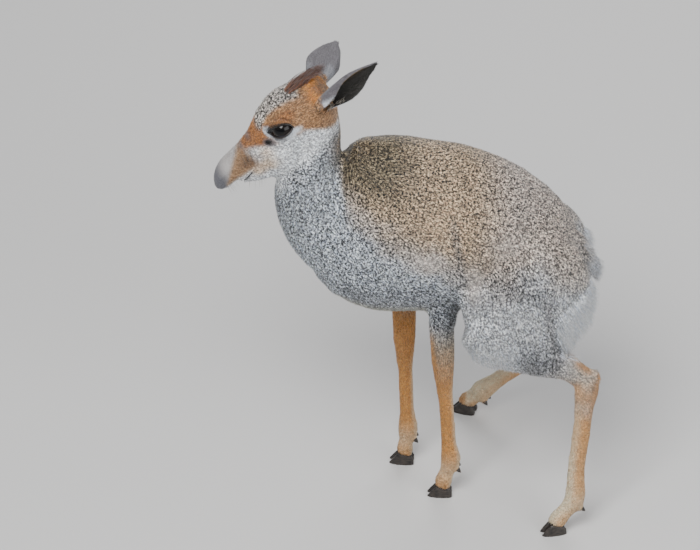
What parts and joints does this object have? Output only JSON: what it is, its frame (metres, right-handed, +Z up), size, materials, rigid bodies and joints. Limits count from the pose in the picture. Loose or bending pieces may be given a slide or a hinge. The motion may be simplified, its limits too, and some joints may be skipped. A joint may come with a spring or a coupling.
{
  "type": "dik-dik figure",
  "caption": "Life-size still figure of a dik-dik, a very small antelope, half crouched with its hind legs spread and its head turned forward over a deep chest.",
  "frame": {"origin": "on the floor, under the middle of the animal's bounding box", "axes": "+Z up; the animal faces -Y; its left side is +X"},
  "size_m": [0.2342, 0.387, 0.5239],
  "materials": {
    "grizzled_back": "short flat fur, brown ticked with black",
    "grizzled_neck": "short fur, pale grey ticked with black",
    "rufous_face": "very short rufous fur, bare grey skin on the nose",
    "grey_ear": "thin skin with a sparse velvet of grey hair",
    "tan_leg": "very short tan fur",
    "black_horn": "satin black horn",
    "dark_eye": "wet gloss"
  },
  "bodies": {
    "root": {"neck": "grizzled_neck", "crest": "rufous_face", "lower_jaw": "grizzled_neck", "muzzle": "rufous_face", "left_ear": "grey_ear", "left_thigh": "grizzled_back", "left_forearm": "tan_leg", "left_fore_cannon": "tan_leg", "left_fore_outer_dewclaw": "black_horn", "left_fore_pastern": "tan_leg", "left_fore_inner_dewclaw": "black_horn", "left_gaskin": "tan_leg", "left_hind_cannon": "tan_leg", "left_hind_outer_dewclaw": "black_horn", "left_hind_pastern": "tan_leg", "left_hind_inner_dewclaw": "black_horn", "head": "rufous_face", "right_ear": "grey_ear", "tail": "grizzled_back", "trunk": "grizzled_back", "right_thigh": "grizzled_back", "right_forearm": "tan_leg", "right_fore_cannon": "tan_leg", "right_fore_inner_dewclaw": "black_horn", "right_fore_pastern": "tan_leg", "right_fore_outer_dewclaw": "black_horn", "right_gaskin": "tan_leg", "right_hind_cannon": "tan_leg", "right_hind_inner_dewclaw": "black_horn", "right_hind_outer_dewclaw": "black_horn", "right_hind_pastern": "tan_leg", "left_eye": "dark_eye", "left_fore_inner_hoof": "black_horn", "left_fore_outer_hoof": "black_horn", "left_hind_inner_hoof": "black_horn", "left_hind_outer_hoof": "black_horn", "right_eye": "dark_eye", "right_fore_inner_hoof": "black_horn", "right_fore_outer_hoof": "black_horn", "right_hind_inner_hoof": "black_horn", "right_hind_outer_hoof": "black_horn"}
  },
  "joints": []
}
